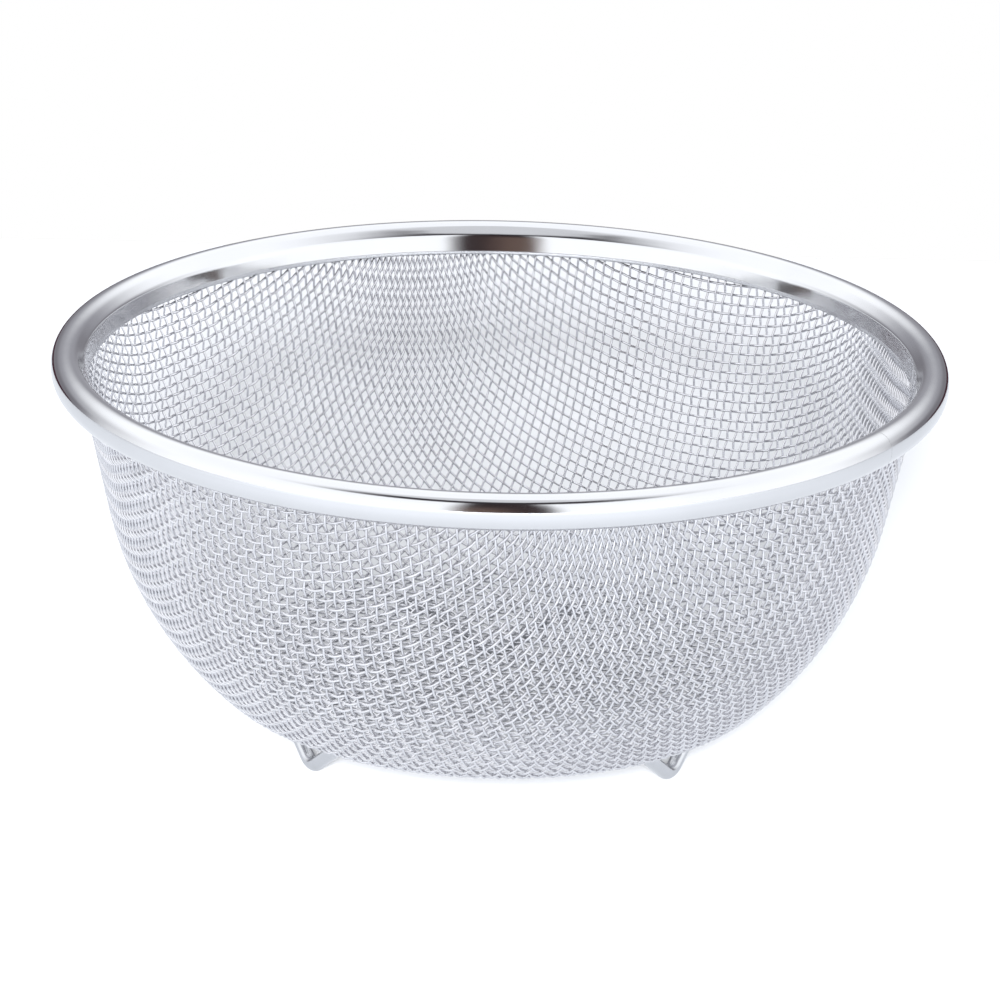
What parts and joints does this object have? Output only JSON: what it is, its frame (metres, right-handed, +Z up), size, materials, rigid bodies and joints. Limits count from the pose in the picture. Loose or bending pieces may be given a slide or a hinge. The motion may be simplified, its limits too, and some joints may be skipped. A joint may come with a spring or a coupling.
{
  "type": "round colander",
  "caption": "Round wire-mesh colander: a woven steel bowl gripped by a rolled hollow rim, standing on bent-rod feet.",
  "frame": {"origin": "on the table under the middle of the bowl, in the plane of the three feet's soles", "axes": "+Z up through the bowl's open mouth, -Y towards the pictured front, +X to the right as pictured"},
  "size_m": [0.21, 0.21, 0.0989],
  "materials": {
    "rim_steel": "polished stainless sheet",
    "mesh_steel": "bright drawn stainless wire",
    "foot_steel": "polished stainless rod"
  },
  "bodies": {
    "root": {"rim": "rim_steel", "mesh_bowl": "mesh_steel", "foot_1": "foot_steel", "foot_2": "foot_steel", "foot_3": "foot_steel"}
  },
  "joints": []
}
